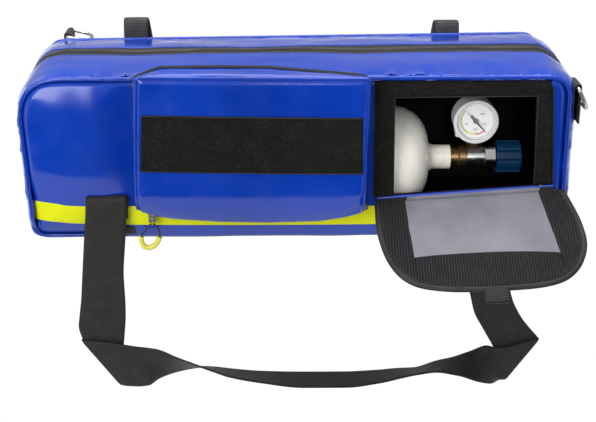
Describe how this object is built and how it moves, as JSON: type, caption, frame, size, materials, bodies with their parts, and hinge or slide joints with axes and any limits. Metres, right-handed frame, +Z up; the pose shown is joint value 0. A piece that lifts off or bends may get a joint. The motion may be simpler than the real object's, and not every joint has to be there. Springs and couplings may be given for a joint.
{
  "type": "oxygen cylinder in carry bag",
  "caption": "Small oxygen cylinder with valve, handwheel and contents gauge, strapped in a padded blue carry bag with a window flap, front pocket, zip top and webbing strap.",
  "frame": {"origin": "middle of the axis of the rail that passes through the two loops at the back of the bag and holds it up", "axes": "+X along the bag towards the valve, +Y towards the back of the bag, +Z up"},
  "size_m": [0.5452, 0.3212, 0.332],
  "materials": {
    "pvc_blue": "gloss",
    "piping_blue": "gloss",
    "lining_black": "matte",
    "reflective_yellow": "satin",
    "loop_tape_black": "matte",
    "hook_tape_grey": "matte",
    "webbing_black": "matte",
    "binding_black": "satin",
    "zip_black": "satin",
    "zip_metal": "satin",
    "clear_vinyl": "gloss",
    "cylinder_white": "gloss",
    "brass": "satin",
    "chrome": "polished",
    "steel": "satin",
    "nylon": "satin",
    "gauge_grey": "satin",
    "dial_white": "satin",
    "gauge_glass": "gloss",
    "needle_black": "satin",
    "knob_blue": "satin",
    "cord_black": "matte",
    "pull_yellow": "satin"
  },
  "bodies": {
    "bag": {"front_panel": "pvc_blue", "rear_panel": "pvc_blue", "base_panel": "pvc_blue", "left_end_panel": "pvc_blue", "right_end_panel": "pvc_blue", "front_liner": "lining_black", "rear_liner": "lining_black", "base_liner": "lining_black", "left_end_liner": "lining_black", "right_end_liner": "lining_black", "seam_piping": "piping_blue", "reflective_stripe": "reflective_yellow", "window_frame_tape": "loop_tape_black", "left_rail_loop": "webbing_black", "right_rail_loop": "webbing_black", "left_ring_tab": "webbing_black", "right_ring_tab": "webbing_black", "left_zip_end": "zip_black", "right_zip_end": "zip_black", "strap_anchors": "webbing_black", "cylinder_straps": "webbing_black", "pocket_gusset": "pvc_blue", "pocket_zip_rim": "zip_black", "cylinder_body": "cylinder_white", "valve_inlet": "brass", "neck_collar": "chrome", "valve_body": "chrome", "valve_seat": "nylon", "bonnet_nut": "chrome", "gas_outlet": "brass", "outlet_cap": "chrome", "gauge_stem": "brass", "gauge_case": "gauge_grey", "gauge_bezel": "gauge_grey", "gauge_dial": "dial_white", "gauge_lens": "gauge_glass", "bourdon_tube": "brass"},
    "top_front_leaf": {"top_front_panel": "pvc_blue", "top_front_zip": "zip_black"},
    "top_rear_leaf": {"top_rear_panel": "pvc_blue", "top_rear_zip": "zip_black"},
    "main_slider": {"main_zip_slider": "zip_metal"},
    "main_pull": {"main_zip_pull": "zip_metal"},
    "window_flap": {"flap_panel": "pvc_blue", "flap_window": "clear_vinyl", "flap_hook_tape": "hook_tape_grey", "flap_binding": "binding_black", "flap_pull_tab": "webbing_black"},
    "pocket_lid": {"pocket_cover": "pvc_blue", "pocket_label_tape": "loop_tape_black", "pocket_zip": "zip_black"},
    "pocket_slider": {"pocket_zip_slider": "zip_metal"},
    "pocket_pull": {"pocket_pull_cord": "cord_black", "pocket_pull_grip": "pull_yellow"},
    "handle": {"carry_strap": "webbing_black"},
    "tap": {"handwheel": "knob_blue", "valve_spindle": "steel"},
    "needle": {"gauge_needle": "needle_black"},
    "left_ring": {"left_d_ring": "steel"},
    "right_ring": {"right_d_ring": "steel"}
  },
  "joints": [
    {"name": "window_flap_hinge", "type": "hinge", "parent": "bag", "child": "window_flap", "pos_m": [0.078, -0.18295, -0.131], "axis": [-0.9976, 0, -0.0698], "range_deg": [-20, 120]},
    {"name": "pocket_lid_hinge", "type": "hinge", "parent": "bag", "child": "pocket_lid", "pos_m": [-0.039, -0.20775, -0.1377], "axis": [1, 0, 0], "range_deg": [0, 80]},
    {"name": "pocket_slider_slide", "type": "slide", "parent": "bag", "child": "pocket_slider", "axis": [-0.7549, 0, 0.6559], "range_m": [0, 0.012]},
    {"name": "pocket_pull_swing", "type": "hinge", "parent": "pocket_slider", "child": "pocket_pull", "pos_m": [-0.138, -0.18975, -0.1488], "axis": [-1, 0, 0], "range_deg": [0, 75]},
    {"name": "top_front_hinge", "type": "hinge", "parent": "bag", "child": "top_front_leaf", "pos_m": [0, -0.17125, -0.012], "axis": [1, 0, 0], "range_deg": [0, 90]},
    {"name": "top_rear_hinge", "type": "hinge", "parent": "bag", "child": "top_rear_leaf", "pos_m": [0, -0.01525, -0.012], "axis": [-1, 0, 0], "range_deg": [0, 90]},
    {"name": "main_slider_slide", "type": "slide", "parent": "bag", "child": "main_slider", "axis": [0, 0, 1], "range_m": [0, 0.035]},
    {"name": "main_pull_swing", "type": "hinge", "parent": "main_slider", "child": "main_pull", "pos_m": [-0.2684, -0.09325, -0.063], "axis": [1, 0, 0], "range_deg": [-80, 80]},
    {"name": "handle_swing", "type": "hinge", "parent": "bag", "child": "handle", "pos_m": [0, -0.18625, -0.137], "axis": [-1, 0, 0], "range_deg": [0, 25]},
    {"name": "handwheel_turn", "type": "hinge", "parent": "bag", "child": "tap", "pos_m": [0.2135, -0.11525, -0.109], "axis": [1, 0, 0], "range_deg": [0, 540]},
    {"name": "needle_turn", "type": "hinge", "parent": "bag", "child": "needle", "pos_m": [0.178, -0.12635, -0.0684], "axis": [0, 1, 0], "range_deg": [0, 270]},
    {"name": "left_ring_swing", "type": "hinge", "parent": "bag", "child": "left_ring", "pos_m": [-0.239, 0.01275, -0.013], "axis": [0, -1, 0], "range_deg": [0, 150]},
    {"name": "right_ring_swing", "type": "hinge", "parent": "bag", "child": "right_ring", "pos_m": [0.2642, -0.16225, -0.021], "axis": [0, -1, 0], "range_deg": [0, 150]}
  ]
}
